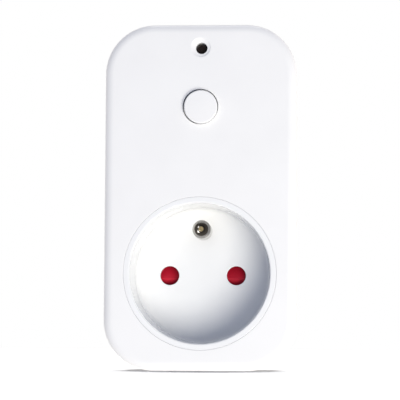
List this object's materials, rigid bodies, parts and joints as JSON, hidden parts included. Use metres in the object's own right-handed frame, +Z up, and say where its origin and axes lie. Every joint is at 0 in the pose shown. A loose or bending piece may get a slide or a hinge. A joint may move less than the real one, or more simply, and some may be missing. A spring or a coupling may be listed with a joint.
{
  "type": "plug in power meter",
  "caption": "Slim wall-plug energy meter with a round French-style earthed outlet, a push button and a status light window on its front.",
  "frame": {"origin": "centre of the rear plug's flat face, midway between its two live pins and on the axis of the front outlet", "axes": "+Y points into the wall along the plug's pins, so the front faces -Y; +Z is up; +X is to the right seen from the front"},
  "size_m": [0.0534, 0.0778, 0.0965],
  "materials": {
    "case_white": "satin moulded",
    "outlet_white": "polished moulded",
    "inner_white": "plain moulded",
    "shutter_red": "satin moulded",
    "nickel": "bright nickel plate",
    "brass": "stamped sheet",
    "zinc_steel": "zinc plated",
    "spring_steel": "drawn wire",
    "smoked_lens": "smoked, polished",
    "black_plastic": "plain moulded",
    "board_green": "solder mask",
    "capacitor_yellow": "film capacitor case",
    "capacitor_sleeve": "shrunk sleeve",
    "relay_blue": "sealed case",
    "varistor_blue": "dipped coating",
    "manganin": "resistance strip",
    "wire_brown": "wire insulation",
    "wire_blue": "wire insulation",
    "wire_black": "wire insulation",
    "led_body": "moulded light body"
  },
  "bodies": {
    "root": {"front_cover": "case_white", "rear_cover": "case_white", "case_screw_1": "zinc_steel", "case_screw_2": "zinc_steel", "case_screw_3": "zinc_steel", "case_screw_4": "zinc_steel", "outlet_insert": "outlet_white", "earth_pin": "nickel", "shutter_spring": "spring_steel", "contact_carrier": "inner_white", "neutral_contact": "brass", "live_contact": "brass", "neutral_busbar": "brass", "live_pin_terminal": "brass", "live_contact_terminal": "brass", "plug_pin_neutral": "nickel", "plug_pin_live": "nickel", "pin_holder": "black_plastic", "pin_holder_screw": "zinc_steel", "earth_bracket": "nickel", "earth_socket_contact": "brass", "earth_strap": "brass", "tact_switch_body": "black_plastic", "status_lens": "smoked_lens", "light_holder": "black_plastic", "status_light": "led_body", "main_board": "board_green", "board_screw_right": "zinc_steel", "board_screw_left": "zinc_steel", "relay": "relay_blue", "interference_capacitor": "capacitor_yellow", "bridge_rectifier": "black_plastic", "supply_chip": "black_plastic", "metering_chip": "black_plastic", "radio_board": "board_green", "radio_shield": "zinc_steel", "smoothing_capacitor_1": "capacitor_sleeve", "smoothing_capacitor_2": "capacitor_sleeve", "filter_choke": "black_plastic", "fuse": "black_plastic", "varistor": "varistor_blue", "shunt_resistor": "manganin", "live_in_wire": "wire_brown", "neutral_wire": "wire_blue", "live_out_wire": "wire_black"},
    "button": {"power_button": "case_white"},
    "switch_plunger": {"tact_switch_plunger": "wire_brown"},
    "shutter": {"shutter": "shutter_red"}
  },
  "joints": [
    {"name": "button_press", "type": "slide", "parent": "root", "child": "button", "axis": [0, 1, 0], "range_m": [0, 0.0005], "stiffness_N_per_m": 600, "springref_m": -0.002},
    {"name": "plunger_press", "type": "slide", "parent": "root", "child": "switch_plunger", "axis": [0, 1, 0], "range_m": [0, 0.0005]},
    {"name": "shutter_slide", "type": "slide", "parent": "root", "child": "shutter", "axis": [0, 0, -1], "range_m": [0, 0.006], "stiffness_N_per_m": 80, "springref_m": -0.005, "deforming": ["shutter_spring"]}
  ],
  "couplings": [
    {"joint": "plunger_press", "follows": "button_press", "ratio": 1}
  ]
}
